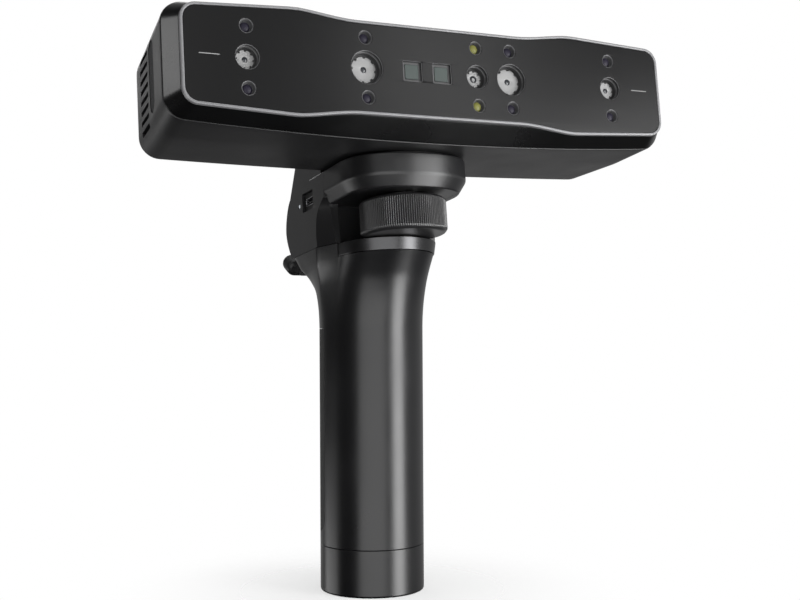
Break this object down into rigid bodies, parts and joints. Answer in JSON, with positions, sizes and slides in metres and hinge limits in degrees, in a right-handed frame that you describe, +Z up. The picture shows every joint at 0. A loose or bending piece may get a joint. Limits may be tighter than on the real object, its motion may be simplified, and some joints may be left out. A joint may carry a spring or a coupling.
{
  "type": "three-d scanner",
  "caption": "Hand-held three-d scanner: bar-shaped head with camera windows, clamped by a knurled knob to a round grip with a phone clamp behind it.",
  "frame": {"origin": "centre of the grip's flat base, on the tripod thread's axis", "axes": "+Z up along the grip, -Y the way the cameras look, +X to the right seen from the front"},
  "size_m": [0.2058, 0.1203, 0.221],
  "materials": {
    "cap_black": "satin",
    "cell_blue": "satin",
    "holder_black": "satin",
    "clamp_black": "satin",
    "knob_black": "satin",
    "screw_steel": "satin",
    "collar_satin": "satin",
    "barrel_alloy": "satin",
    "window_glass": "satin",
    "cradle_black": "satin",
    "bezel_black": "satin",
    "panel_gloss": "satin",
    "port_black": "satin",
    "grip_black": "satin",
    "socket_steel": "satin",
    "bench_alloy": "satin",
    "infrared_lamp": "satin",
    "board_green": "satin",
    "square_glass": "satin",
    "pad_rubber": "satin",
    "projector_alloy": "satin",
    "housing_black": "satin",
    "inlay_black": "satin",
    "trim_silver": "satin",
    "button_grey": "satin",
    "light_clear": "satin",
    "insert_brass": "satin",
    "white_lamp": "satin"
  },
  "bodies": {
    "scanner": {"base_cap": "cap_black", "battery_cell": "cell_blue", "cell_holder": "holder_black", "clamp_back": "clamp_black", "collar_ring": "collar_satin", "colour_barrel": "barrel_alloy", "colour_window": "window_glass", "cradle": "cradle_black", "front_bezel": "bezel_black", "front_panel": "panel_gloss", "grip_socket": "port_black", "handle_shell": "grip_black", "head_socket": "socket_steel", "heat_sink": "bench_alloy", "infrared_a_lower_lamp": "infrared_lamp", "infrared_a_upper_lamp": "infrared_lamp", "infrared_b_lower_lamp": "infrared_lamp", "infrared_b_upper_lamp": "infrared_lamp", "infrared_c_lower_lamp": "infrared_lamp", "infrared_c_upper_lamp": "infrared_lamp", "infrared_d_lower_lamp": "infrared_lamp", "infrared_d_upper_lamp": "infrared_lamp", "lamp_board": "board_green", "left_inner_barrel": "barrel_alloy", "left_inner_window": "window_glass", "left_outer_barrel": "barrel_alloy", "left_outer_window": "window_glass", "left_projector_window": "square_glass", "lower_jaw_pad": "pad_rubber", "main_board": "board_green", "optical_bench": "bench_alloy", "power_board": "board_green", "projector": "projector_alloy", "rear_housing": "housing_black", "rear_inlay": "inlay_black", "right_inner_barrel": "barrel_alloy", "right_inner_window": "window_glass", "right_outer_barrel": "barrel_alloy", "right_outer_window": "window_glass", "right_projector_window": "square_glass", "rim_trim": "trim_silver", "rubber_pad": "pad_rubber", "status_light": "light_clear", "thread_insert": "insert_brass", "tripod_insert": "insert_brass", "white_lower_lamp": "white_lamp", "white_upper_lamp": "white_lamp"},
    "knob": {"clamp_knob": "knob_black", "clamp_screw": "screw_steel"},
    "button": {"scan_button": "button_grey"},
    "jaw": {"upper_jaw": "clamp_black", "upper_jaw_pad": "pad_rubber"}
  },
  "joints": [
    {"name": "clamp_knob_turn", "type": "hinge", "parent": "scanner", "child": "knob", "pos_m": [0, -0.03091, 0.15188], "axis": [0, 0.1226, 0.9925], "continuous": true},
    {"name": "scan_button_press", "type": "slide", "parent": "scanner", "child": "button", "axis": [0, -0.9925, 0.1226], "range_m": [0, 0.0008], "stiffness_N_per_m": 500, "springref_m": -0.001},
    {"name": "phone_jaw_slide", "type": "slide", "parent": "scanner", "child": "jaw", "axis": [0, -0.4242, 0.9056], "range_m": [0, 0.025], "stiffness_N_per_m": 200, "springref_m": -0.01}
  ]
}
